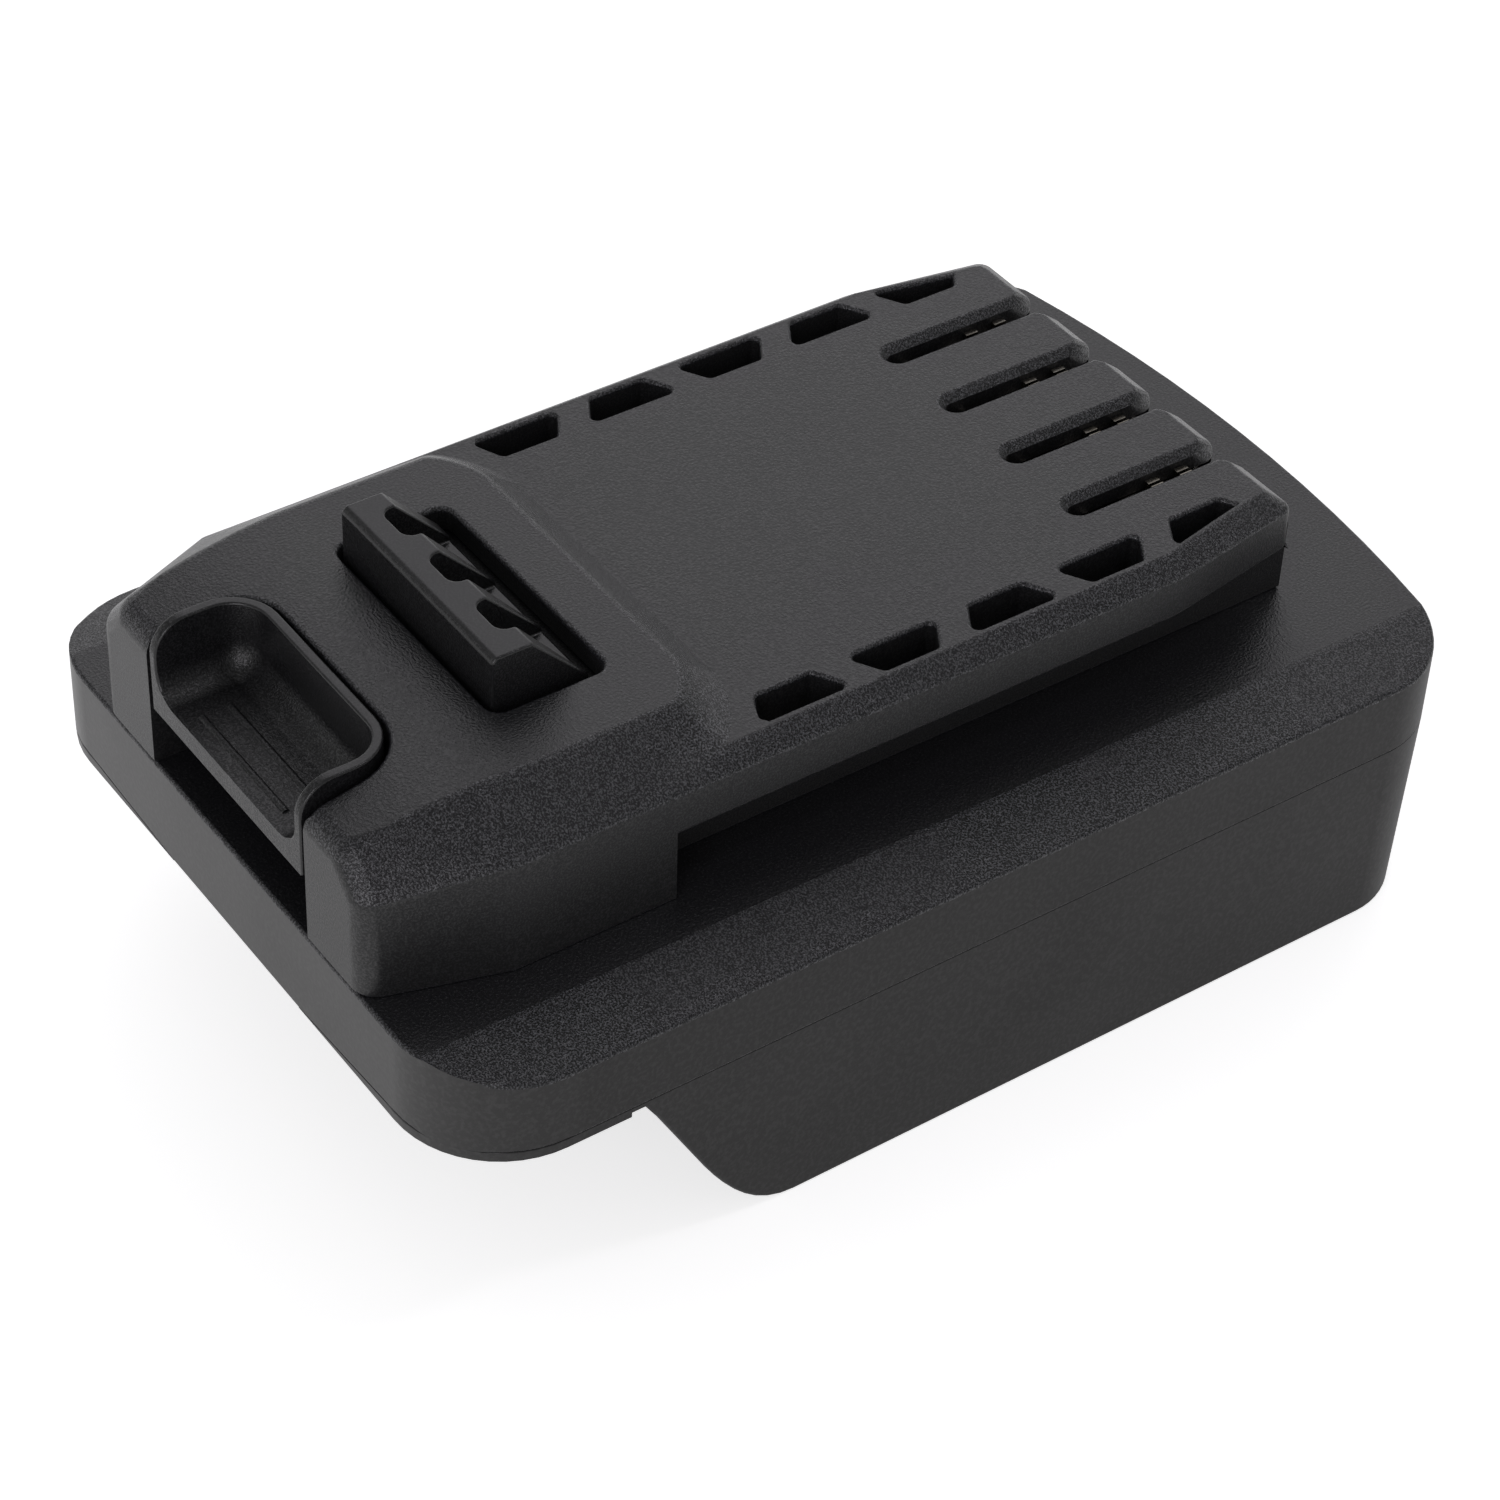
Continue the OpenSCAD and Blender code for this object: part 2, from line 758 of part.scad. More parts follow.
// Room inside the cover for the latch, the clips and the wiring
module cover_hollow() {
    latch_half = half_rail - wall * 2.4;
    latch_front = front + front_flare_length;
    latch_back = front + block_wall_length - wall;
    side_height = block_underside - wall * 1.3;
    at_height(flange_top - past, side_height - flange_top + past)
        polygon([
            [-latch_half, latch_front], [latch_half, latch_front],
            [latch_half, latch_back], [-latch_half, latch_back]
        ]);
    across(2 * (half_neck - wall))
        polygon([
            [latch_front, flange_top - past], [latch_front, block_underside],
            [block_end - wall, block_underside],
            [band_end - wall, plate_underside], [neck_end - wall, plate_underside],
            [neck_end - wall, flange_top - past]
        ]);
}

// Way through the block for the arm between the scoop and the catch
module arm_passage() {
    half = latch_arm_half + latch_gap / 2;
    box(
        -half, half, front + button_depth, front + front_flare_length + past,
        flange_top - past, block_underside
    );
}

module tool_rail_cover() {
    window_half = catch_tongue_width / 2 + latch_gap;
    color(moulding)
        difference() {
            union() {
                difference() {
                    union() {
                        front_block();
                        rail_plate();
                        box(
                            -half_neck, half_neck, front + block_wall_length, neck_end,
                            flange_top, rail_bottom + sink
                        );
                    }
                    both_sides()
                        box(
                            half_neck, half_rail + past, front + block_wall_length, back,
                            flange_top - past, rail_bottom
                        );
                    cover_hollow();
                    arm_passage();
                }
                for (spot = cover_screw_spots)
                    post(spot, boss_diameter, flange_top, plate_underside + sink);
            }
            at_height(flange_top - past, block_top - flange_top + 2 * past)
                button_opening(button_gap);
            at_height(block_underside - past, wall + 2 * past)
                polygon(rounded_rectangle(
                    -window_half, window_half,
                    tongue_front - latch_gap * 0.5, tongue_back + latch_gap * 1.5, 1.4
                ));
            for (x = contact_offsets)
                contact_slot(x);
            both_sides()
                vent_row();
            for (spot = cover_screw_spots)
                post(spot, screw_diameter + 0.1, flange_top - past, flange_top + cover_screw_length);
        }
}

// Bowl that the thumb presses, open at the front
module scoop_hollow() {
    r = 3;
    half = button_width / 2 - button_rim;
    depth = front + button_depth - button_rim;
    hull() {
        for (side = [-1, 1], y = [front - 2 * r, depth - r])
            translate([side * (half - r), y, scoop_floor + r])
                sphere(r = r, $fn = 32);
        at_height(button_top - thin, past)
            button_opening(-button_rim);
    }
}

module thumb_scoop() {
    droop_r = 3.5;
    ridge_half = button_width * 0.28;
    ridge_r = 0.4;
    difference() {
        intersection() {
            at_height(button_bottom, button_height)
                button_opening(0);
            across(button_width + 2 * past)
                polygon(concat(
                    [[front, button_bottom - past]],
                    [[front + button_depth + past, button_bottom - past]],
                    [[front + button_depth + past, button_top]],
                    arc([front + droop_r, button_top - droop_r], droop_r, 90, 180, 8)
                ));
        }
        scoop_hollow();
    }
    for (y = [1.9, 4.8])
        translate([-ridge_half, front + y, scoop_floor - ridge_r * 0.35])
            rotate([0, 90, 0])
                cylinder(r = ridge_r, h = 2 * ridge_half);
}

// Pocket in the catch, with a rounded end and one leaning side
module tongue_pocket(x) {
    r = 1.2;
    end = tongue_crest - 1.5;
    open = tongue_back + past;
    lean = (open - tongue_crest) * 0.43;
    at_height(tongue_foot - 0.4, latch_travel + 2)
        polygon(concat(
            [[x, open]],
            arc([x + r, end + r], r, 180, 270, 6),
            arc([x + pocket_width - r, end + r], r, 270, 360, 6),
            [[x + pocket_width, tongue_crest], [x + pocket_width + lean, open]]
        ));
}

module release_latch() {
    carrier_half_width = catch_tongue_width / 2 + carrier_margin;
    first_pocket = -(pocket_count - 1) / 2 * pocket_pitch - pocket_width / 2 - 0.3;
    edge = 0.5;
    post_diameter = spring_diameter - 2 * spring_wire - 0.8;
    color(latch_moulding) {
        thumb_scoop();
        box(
            -latch_arm_half, latch_arm_half,
            front + button_depth - button_rim, tongue_front, carrier_bottom, carrier_top
        );
        box(
            -carrier_half_width, carrier_half_width,
            tongue_front - carrier_margin, tongue_back + carrier_margin, carrier_bottom, carrier_top
        );
        difference() {
            across(catch_tongue_width)
                polygon([
                    [tongue_front, carrier_top - sink], [tongue_front, tongue_top - edge],
                    [tongue_front + edge, tongue_top], [tongue_crest, tongue_top],
                    [tongue_back, tongue_foot], [tongue_back, carrier_top - sink]
                ]);
            for (i = [0:pocket_count - 1])
                tongue_pocket(first_pocket + i * pocket_pitch);
        }
        for (side = [-1, 1])
            post([side * spring_offset, spring_y], post_diameter, carrier_bottom - 6, carrier_bottom + sink);
    }
}

// Points along a spring's wire, eight to a turn
spring_rings = spring_turns * 8;
spring_path = [
    for (i = [0:spring_rings])
        let (r = (spring_diameter - spring_wire) / 2)
        [r * cos(45 * i), r * sin(45 * i), (spring_height - spring_wire) * i / spring_rings]
];
spring_gap = min([
    for (i = [0:spring_rings - 6], k = [i + 6:spring_rings])
        norm(spring_path[k] - spring_path[i])
]) - spring_wire;
echo(least_gap_between_spring_turns = spring_gap);

module latch_spring(side) {
    color(steel)
        translate([side * spring_offset, spring_y, well_floor + spring_wire / 2])
            tube(spring_path, spring_wire / 2, 6);
}

module housing_screws() {
    color(steel)
        for (spot = housing_screw_spots)
            screw(spot, housing_seat, screw_diameter, head_diameter, head_height, housing_screw_length);
}

module cover_screws() {
    color(steel)
        for (spot = cover_screw_spots)
            screw(
                spot, flange_underside, screw_diameter, head_diameter, head_height,
                cover_screw_length
            );
}

module screw_from_above(spot, seat) {
    translate([0, 0, 2 * seat])
        mirror([0, 0, 1])
            screw(
                spot, seat, small_screw_diameter, small_head_diameter, small_head_height,
                small_screw_length
            );
}

module carrier_screws() {
    color(steel)
        for (spot = carrier_screw_spots)
            screw_from_above(spot, carrier_plate_top);
}

module terminal_screws() {
    color(steel)
        for (spot = terminal_screw_spots)
            screw_from_above(spot, block_flange_top);
}

// Forked spring clip, drawn with its tail; a gap widens it for the hole that it sits in
module clip_tail(x, gap) {
    box(
        x - clip_tail_width / 2 - gap, x + clip_tail_width / 2 + gap,
        clip_root - gap, clip_root + clip_thickness + gap,
        clip_tail_bottom, carrier_plate_top + sink
    );
}

module tool_clip(x) {
    t = clip_thickness;
    mouth_y = clip_root + clip_length;
    tips = [clip_grip_start, clip_grip_end - clip_tip_length];
    color(copper_alloy) {
        clip_tail(x, 0);
        translate([x, 0, 0]) {
            at_height(carrier_plate_top, clip_height) {
                both_sides()
                    polygon([
                        [clip_root_half - t, clip_root], [clip_root_half, clip_root],
                        [clip_grip + t, clip_grip_start], [clip_grip + t, clip_grip_end],
                        [clip_mouth + t, mouth_y], [clip_mouth, mouth_y],
                        [clip_grip, clip_grip_end], [clip_grip, clip_grip_start]
                    ]);
                translate([-clip_root_half, clip_root])
                    square([2 * clip_root_half, t]);
            }
            both_sides()
                for (y = tips)
                    box(
                        clip_grip, clip_grip + t, y, y + clip_tip_length,
                        carrier_plate_top, carrier_plate_top + clip_height + clip_tip_rise
                    );
        }
    }
}

module contact_carrier() {
    color(inner_moulding)
        difference() {
            union() {
                box(
                    -carrier_half, carrier_half, carrier_plate_front, carrier_plate_back,
                    flange_top, carrier_plate_top
                );
                box(
                    -carrier_plug_half, carrier_plug_half, carrier_plug_front, carrier_plug_back,
                    flange_underside, flange_top + sink
                );
            }
            for (x = contact_offsets)
                clip_tail(x, slack);
            for (spot = carrier_screw_spots)
                post(spot, small_screw_diameter + 0.3, flange_underside - past, carrier_plate_top + past);
        }
}

// Blade that the battery pushes onto, with a tail that rises to its lead
module blade_side_view(gap) {
    tip = block_body_front - blade_reach;
    bevel = 1.2;
    top = blade_bottom + blade_height + gap;
    bottom = blade_bottom - gap;
    polygon([
        [tip, bottom + bevel], [tip + bevel, bottom], [blade_tail_back + gap, bottom],
        [blade_tail_back + gap, blade_tail_top], [blade_tail_front - gap, blade_tail_top],
        [blade_tail_front - gap, top], [tip + bevel, top], [tip, top - bevel]
    ]);
}

module battery_blade(x) {
    color(copper_alloy)
        translate([x, 0, 0])
            across(blade_thickness)
                blade_side_view(0);
}

module terminal_block() {
    color(inner_moulding)
        difference() {
            union() {
                box(
                    -block_body_half, block_body_half, block_body_front, block_body_back,
                    block_body_bottom, seam_height + sink
                );
                box(
                    -block_flange_half, block_flange_half, block_flange_front, block_flange_back,
                    seam_height, block_flange_top
                );
            }
            for (x = contact_offsets)
                translate([x, 0, 0])
                    across(blade_thickness + 2 * slack)
                        blade_side_view(slack);
            for (spot = terminal_screw_spots)
                post(spot, small_screw_diameter + 0.3, seam_height - past, block_flange_top + past);
        }
}

// Lead from a blade's tail to a clip's tail, bowed aside round the screw between them
module lead(x, bow, tint) {
    from = blade_tail_front;
    to = clip_root + clip_thickness;
    steps = 8;
    color(tint)
        tube(
            [for (i = [0:steps])
                let (t = i / steps, bent = min(1, max(0, (i - 1) / (steps - 2))))
                let (swing = pow(sin(180 * bent), 2))
                [x + bow * swing, from + (to - from) * t, lead_height - lead_sag * swing]],
            lead_diameter / 2, 8
        );
}

lower_housing();
upper_housing();
tool_rail_cover();
release_latch();
latch_spring(-1);  // latch_spring_left
latch_spring(1);  // latch_spring_right
housing_screws();
cover_screws();
carrier_screws();
terminal_screws();
contact_carrier();
terminal_block();
tool_clip(contact_offsets[0]);  // tool_clip_positive
tool_clip(contact_offsets[1]);  // tool_clip_signal_a
tool_clip(contact_offsets[2]);  // tool_clip_signal_b
tool_clip(contact_offsets[3]);  // tool_clip_negative
battery_blade(contact_offsets[0]);  // battery_blade_positive
battery_blade(contact_offsets[1]);  // battery_blade_signal_a
battery_blade(contact_offsets[2]);  // battery_blade_signal_b
battery_blade(contact_offsets[3]);  // battery_blade_negative
lead(contact_offsets[0], -lead_bow, red_insulation);  // lead_positive
lead(contact_offsets[1], lead_bow, grey_insulation);  // lead_signal_a
lead(contact_offsets[2], -lead_bow, grey_insulation);  // lead_signal_b
lead(contact_offsets[3], lead_bow, black_insulation);  // lead_negative
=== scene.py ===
"""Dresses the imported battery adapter.

The mouldings get rounded edges, each piece gets the finish of its plastic or metal, and a paper floor,
soft lights and the photograph's camera complete the scene."""
import json
import math

import bmesh
import bpy
from mathutils import Matrix, Vector

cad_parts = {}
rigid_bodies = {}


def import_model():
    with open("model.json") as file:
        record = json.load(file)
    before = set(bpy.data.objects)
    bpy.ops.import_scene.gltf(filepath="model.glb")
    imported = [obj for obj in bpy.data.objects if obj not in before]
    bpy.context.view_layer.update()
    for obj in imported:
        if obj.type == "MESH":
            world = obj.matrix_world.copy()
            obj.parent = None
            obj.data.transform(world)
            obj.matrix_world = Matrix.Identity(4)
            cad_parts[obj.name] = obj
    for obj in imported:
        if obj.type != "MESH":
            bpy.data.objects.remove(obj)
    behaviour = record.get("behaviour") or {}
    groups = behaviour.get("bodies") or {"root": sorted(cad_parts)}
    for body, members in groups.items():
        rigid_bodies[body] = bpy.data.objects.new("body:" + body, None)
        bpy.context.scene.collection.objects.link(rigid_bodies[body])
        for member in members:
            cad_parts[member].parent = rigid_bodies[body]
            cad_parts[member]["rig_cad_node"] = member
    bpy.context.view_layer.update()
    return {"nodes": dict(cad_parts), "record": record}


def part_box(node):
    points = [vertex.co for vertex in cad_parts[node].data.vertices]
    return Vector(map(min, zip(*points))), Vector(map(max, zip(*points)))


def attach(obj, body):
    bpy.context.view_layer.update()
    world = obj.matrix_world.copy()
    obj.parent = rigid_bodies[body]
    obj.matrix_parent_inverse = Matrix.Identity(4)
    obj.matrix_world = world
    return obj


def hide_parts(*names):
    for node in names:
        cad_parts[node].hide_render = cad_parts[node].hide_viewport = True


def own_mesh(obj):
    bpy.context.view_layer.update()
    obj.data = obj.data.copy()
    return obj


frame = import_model()

MM = 0.001
BODY, LATCH = "adapter_body", "latch"

# Heights and places of the part, in millimetres, in the frame of the solids
FRONT, BACK = -59.0, 59.0
HALF_WIDTH = 39.0
SEAM = 21.9
SHOULDER_FOOT = 29.0
FLANGE_TOP = 31.2
RAIL_BOTTOM = 38.8
CHAMFER_FOOT = 43.3
PLATE_TOP = 44.9
PLATE_FRONT = -18.0
BLOCK_UNDERSIDE = 45.7
HALF_NECK = 22.0
NECK_BACK = 44.0
RAIL_INSIDE = 23.5
FINGER_TIPS = 43.0
SCOOP_LOW = 42.0
HALF_SCOOP = 11.0
SCOOP_FLOOR_BACK = -51.0
SCOOP_BACK = -47.0
LIP_BACK = -43.0
CORNER_BACK = -46.0
CATCH_MIDDLE = -34.0
FIRST_VENT = -13.67
VENT_PITCH = 11.9
VENT_COUNT = 5


# Materials

# Width of the cloudy patches of gloss, and the stretch of their noise that is used
SHEEN_PATCH = 18.0
SHEEN_LOW, SHEEN_HIGH = 0.3, 0.7
# Stretch of the grain's noise from its pits to its crests
GRAIN_LOW, GRAIN_HIGH = 0.45, 0.65
PLASTIC_IOR = 1.53
# Drawn metal: spacing and depth of its lines, how far they are drawn out, and its dulled patches.
# Real lines lie closer, and are drawn coarser so that they show.
LINE_SPACING, LINE_DEPTH = 0.12, 0.02
LINE_DRAW = 0.06
DULL_PATCH = 3.0
DULL_LOW, DULL_HIGH = 0.3, 0.7


def linear(colour):
    """A colour written as sRGB hex, as linear RGBA."""
    parts = [int(colour[i:i + 2], 16) / 255 for i in (1, 3, 5)]
    return (*[c / 12.92 if c <= 0.04045 else ((c + 0.055) / 1.055) ** 2.4 for c in parts], 1.0)


def add(tree, kind, inputs=None, stops=(), **settings):
    """Adds a node with its settings and links.

    An input is a plain value or another node's output; stops are a colour ramp's places and colours."""
    node = tree.nodes.new("ShaderNode" + kind)
    for key, value in settings.items():
        setattr(node, key, value)
    for i, (place, colour) in enumerate(stops):
        node.color_ramp.elements[i].position = place
        node.color_ramp.elements[i].color = linear(colour)
    for key, value in (inputs or {}).items():
        if isinstance(value, bpy.types.NodeSocket):
            tree.links.new(value, node.inputs[key])
        else:
            node.inputs[key].default_value = value
    return node


def blank_material(name):
    """An empty material and its node tree."""
    made = bpy.data.materials.new(name)
    made.use_nodes = True
    made.node_tree.nodes.clear()
    return made, made.node_tree


def moulded_plastic(name, colour, fleck, roughness, grain, depth, shine=None, front=None):
    """Moulded thermoplastic, with the mould's eroded grain and faint cloudy changes of gloss.

    colour lies in the grain's pits and fleck on its crests. grain is the width of the pits and depth their
    depth, in millimetres: real grain is about 0.1 mm wide, and it is drawn coarser so that it shows.
    roughness holds the ends of its range, and shine, where the grain sparkles, the specular level in the
    pits and on the crests. front holds the same four values at the part's front edge, where they differ."""
    made, tree = blank_material(name)
    spot = add(tree, "TexCoord").outputs["Object"]
    pits = add(tree, "TexNoise", {
        "Vector": spot, "Scale": 1 / (grain * MM), "Detail": 2.0, "Roughness": 0.6,
    }).outputs["Fac"]
    clouds = add(tree, "TexNoise", {
        "Vector": spot, "Scale": 1 / (SHEEN_PATCH * MM), "Detail": 3.0,
    }).outputs["Fac"]
    ends = [*roughness, *(shine or ())]
    if front:
        along = add(tree, "SeparateXYZ", {"Vector": spot}).outputs["Y"]
        ends = [
            add(tree, "MapRange", {
                "Value": along, "From Min": CORNER_BACK * MM, "From Max": FRONT * MM,
                "To Min": behind, "To Max": ahead,
            }).outputs["Result"]
            for behind, ahead in zip(ends, front)
        ]
    tint = add(tree, "ValToRGB", {"Fac": pits}, stops=[(GRAIN_LOW, colour), (GRAIN_HIGH, fleck)])
    gloss = add(tree, "MapRange", {
        "Value": clouds, "From Min": SHEEN_LOW, "From Max": SHEEN_HIGH, "To Min": ends[0], "To Max": ends[1],
    })
    relief = add(tree, "Bump", {"Height": pits, "Strength": 1.0, "Distance": depth * MM})
    surface = {
        "Base Color": tint.outputs["Color"], "Roughness": gloss.outputs["Result"],
        "IOR": PLASTIC_IOR, "Normal": relief.outputs["Normal"],
    }
    if shine:
        glint = add(tree, "MapRange", {
            "Value": pits, "From Min": GRAIN_LOW, "From Max": GRAIN_HIGH,
            "To Min": ends[2], "To Max": ends[3],
        })
        surface["Specular IOR Level"] = glint.outputs["Result"]
    shader = add(tree, "BsdfPrincipled", surface)
    add(tree, "OutputMaterial", {"Surface": shader.outputs["BSDF"]})
    return made


def drawn_metal(name, colour, shade, roughness):
    """Pressed or drawn metal: bright, with fine draw lines and slightly dulled patches."""
    made, tree = blank_material(name)
    spot = add(tree, "TexCoord").outputs["Object"]
    along = add(tree, "Mapping", {"Vector": spot, "Scale": (1.0, LINE_DRAW, 1.0)})
    lines = add(tree, "TexNoise", {
        "Vector": along.outputs["Vector"], "Scale": 1 / (LINE_SPACING * MM), "Detail": 3.0,
    }).outputs["Fac"]
    patches = add(tree, "TexNoise", {
        "Vector": spot, "Scale": 1 / (DULL_PATCH * MM), "Detail": 2.0,
    }).outputs["Fac"]
    tint = add(tree, "ValToRGB", {"Fac": patches}, stops=[(DULL_LOW, shade), (DULL_HIGH, colour)])
    gloss = add(tree, "MapRange", {"Value": lines, "To Min": roughness[0], "To Max": roughness[1]})
    relief = add(tree, "Bump", {"Height": lines, "Strength": 0.4, "Distance": LINE_DEPTH * MM})
    shader = add(tree, "BsdfPrincipled", {
        "Base Color": tint.outputs["Color"], "Metallic": 1.0, "Roughness": gloss.outputs["Result"],
        "Normal": relief.outputs["Normal"],
    })
    add(tree, "OutputMaterial", {"Surface": shader.outputs["BSDF"]})
    return made


# Black ABS as it leaves an eroded mould, with a coarse grain on chamfers and shoulders whose light bluish
# crests are partly the grain's tone and partly painted glints
grain_and_glint_abs = moulded_plastic(
    "moulded_abs_grain_and_painted_glints", "#161618", "#343439",
    roughness=(0.24, 0.3), grain=0.18, depth=0.085, shine=(0.27, 0.95),
)
# The same ABS on level faces, where the grain is flatter: an even satin sheen
level_abs = moulded_plastic(
    "moulded_abs_level", "#1b1b1d", "#252527",
    roughness=(0.22, 0.28), grain=0.26, depth=0.09, shine=(0.4, 0.54),
)
# The same ABS on the cover's upright walls, drawn along the mould: the grain is dragged and duller
wall_abs = moulded_plastic(
    "moulded_abs_wall", "#1b1b1c", "#272728",
    roughness=(0.3, 0.36), grain=0.2, depth=0.04, shine=(0.34, 0.6),
)
# The same ABS on the housings' walls: smooth and dull with hardly any grain, and glossier at the front edge
satin_abs = moulded_plastic(
    "moulded_abs_satin", "#191818", "#201f1f",
    roughness=(0.4, 0.48), grain=0.5, depth=0.012, shine=(0.28, 0.34), front=(0.3, 0.36, 0.58, 0.68),
)
# The latch is glass-filled nylon: blacker, with a fine soft grain on its floor and walls
latch_nylon = moulded_plastic(
    "moulded_nylon_latch", "#131314", "#222224",
    roughness=(0.26, 0.32), grain=0.18, depth=0.06, shine=(0.26, 0.62),
)
# The same nylon on the latch's top faces and edges, rubbed smooth: an even satin sheen with bright edges
rubbed_nylon = moulded_plastic(
    "moulded_nylon_rubbed", "#171718", "#1f1f21",
    roughness=(0.2, 0.26), grain=0.18, depth=0.03, shine=(0.4, 0.5),
)
# Inner mouldings: plain polypropylene, dark blue-grey and dull
inner_polypropylene = moulded_plastic(
    "moulded_polypropylene_inner", "#25272b", "#2f3136", roughness=(0.5, 0.6), grain=0.6, depth=0.02,
)
# Insulated leads: soft PVC, smooth with a weak waxy gloss
red_pvc, grey_pvc, black_pvc = (
    moulded_plastic("extruded_pvc_" + hue, colour, fleck, roughness=(0.4, 0.5), grain=0.8, depth=0.01)
    for hue, colour, fleck in (
        ("red", "#8c1c1c", "#982525"), ("grey", "#8a8a8a", "#949494"), ("black", "#1a1a1a", "#222222"),
    )
)
# Zinc-plated steel wire and screws: cool grey, finely drawn
zinc_steel = drawn_metal("zinc_plated_steel", "#b4b8bc", "#8f9499", roughness=(0.25, 0.4))
# Spring bronze strip with a thin tin wash, painted darker than bright tin: painted shade for the clips deep
# in the slots, so that only a few glints show
tinned_bronze_painted_shade = drawn_metal("tinned_spring_bronze_painted_shade", "#98958e", "#6e695f", roughness=(0.16, 0.3))

SLOT_FINISH = {
    "housing": satin_abs, "latch": latch_nylon, "inner_moulding": inner_polypropylene,
    "steel": zinc_steel, "copper_alloy": tinned_bronze_painted_shade,
    "red_insulation": red_pvc, "grey_insulation": grey_pvc, "black_insulation": black_pvc,
}
for part in frame["record"]["subparts"]:
    solid = frame["nodes"][part["node"]]
    solid.data.materials.clear()
    solid.data.materials.append(SLOT_FINISH[part["material_slot"]])


# Mouldings with rounded edges

# Corners closer than MERGE, in millimetres, become one, and faces in nearly the same plane are joined
MERGE = 0.015
SAME_PLANE = math.radians(1.5)
# Edges sharper than SHARP are rounded in a few steps, and those blunter than SMOOTH are shaded smooth
SHARP = math.radians(30)
ROUND_STEPS = 3
SMOOTH = math.radians(40)
# How far up the normal of a flat, level or sloping face points at least, and of an upright one at most
FLAT = math.cos(math.radians(4))
LEVEL = math.cos(math.radians(20))
SLOPE = math.cos(math.radians(75))
UPRIGHT = 0.2

# Margins for finding edges, in millimetres: at a level, beside a wall, and at the sloping chamfers
HAIR, SLACK, CHAMFER_MARGIN = 0.1, 0.5, 0.2
# How far in from the sides, the front and the back an edge still lies on the outside of the housings
SIDE_BAND, SEAM_BAND, SKIRT_BAND = 2.2, 2.0, 3.0
FRONT_BAND, BACK_BAND = 0.6, 6.0
# How far the flange's rim slopes down, and how far from the plate, seam and block the next edges begin
RIM_DROP = 1.6
BLOCK_CLEAR, SKIRT_CLEAR, CATCH_CLEAR = 0.6, 1.5, 0.3
# How far down from the terminal block's top, and in from its sides, its rounded corners begin
TERMINAL_TOP, TERMINAL_CORNER = 3.0, 8.0

# Radii of the edges, in millimetres
BLOCK_ROUND = 0.45
PLATE_ROUND, VENT_ROUND = 0.2, 0.4
RAIL_ROUND = 0.3
COVER_FOOT_ROUND = CHAMFER_ROUND = 0.25
HOUSING_ROUND = 0.4
SEAM_ROUND, LIP_ROUND = 0.06, 0.2
LATCH_ROUND = 0.25
TERMINAL_ROUND = 0.4


def start_copy(node, name, cuts=()):
    """A copy of a solid with its own mesh, merged, its flat faces joined, open in edit mode.

    The faces are split at each y in cuts, so that no face has to wrap round a hole."""
    bpy.ops.object.select_all(action="DESELECT")
    solid = frame["nodes"][node]
    solid.select_set(True)
    bpy.context.view_layer.objects.active = solid
    bpy.ops.object.duplicate()
    piece = bpy.context.active_object
    piece.name = piece.data.name = name
    piece.parent = None
    del piece["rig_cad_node"]
    bpy.ops.mesh.customdata_custom_splitnormals_clear()
    bpy.ops.object.mode_set(mode="EDIT")
    bpy.ops.mesh.select_all(action="SELECT")
    bpy.ops.mesh.remove_doubles(threshold=MERGE * MM)
    for y in cuts:
        bpy.ops.mesh.select_all(action="SELECT")
        bpy.ops.mesh.bisect(plane_co=(0, y * MM, 0), plane_no=(0, 1, 0))
        bpy.ops.mesh.mark_seam()
    bpy.ops.mesh.select_all(action="SELECT")
    bpy.ops.mesh.dissolve_limited(angle_limit=SAME_PLANE, delimit={"SEAM"})
    bpy.ops.mesh.select_all(action="DESELECT")
    return piece


def paint(piece, materials, choose):
    """Gives each face the material that choose picks by its middle, in millimetres, and its normal."""
    piece.data.materials.clear()
    for made in materials:
        piece.data.materials.append(made)
    mesh = bmesh.from_edit_mesh(piece.data)
    for face in mesh.faces:
        face.material_index = choose(face.calc_center_median() / MM, face.normal)
    bmesh.update_edit_mesh(piece.data)


def round_edges(piece, radius_at, largest, rim=-1):
    """Rounds the sharp edges: radius_at gives each edge's radius in millimetres by its middle.

    largest is the largest of those radii. rim is the place of the rounded edges' own material among the
    piece's; without it they take their neighbours'."""
    mesh = bmesh.from_edit_mesh(piece.data)
    weight = mesh.edges.layers.float.new("bevel_weight_edge")
    for edge in mesh.edges:
        if len(edge.link_faces) == 2 and edge.calc_face_angle() > SHARP:
            middle = (edge.verts[0].co + edge.verts[1].co) / 2 / MM
            edge[weight] = radius_at(middle, edge) / largest
    bmesh.update_edit_mesh(piece.data)
    bpy.ops.object.mode_set(mode="OBJECT")
    bevel = piece.modifiers.new("rounding", "BEVEL")
    bevel.limit_method = "WEIGHT"
    bevel.width = largest * MM
    bevel.segments = ROUND_STEPS
    bevel.use_clamp_overlap = False
    bevel.miter_outer = "MITER_ARC"
    bevel.material = rim
    bpy.ops.object.modifier_apply(modifier=bevel.name)
    bpy.ops.object.shade_smooth_by_angle(angle=SMOOTH)
    even = piece.modifiers.new("even", "WEIGHTED_NORMAL")
    even.keep_sharp = True
    bpy.ops.object.modifier_apply(modifier=even.name)


def seat(piece, node, body):
    """Sets a finished piece on its body in the solid's place."""
    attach(piece, body)
    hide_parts(node)


def near(value, target, margin=0.08):
    """Whether a height is at a level of the part, within a margin."""
    return abs(value - target) < margin


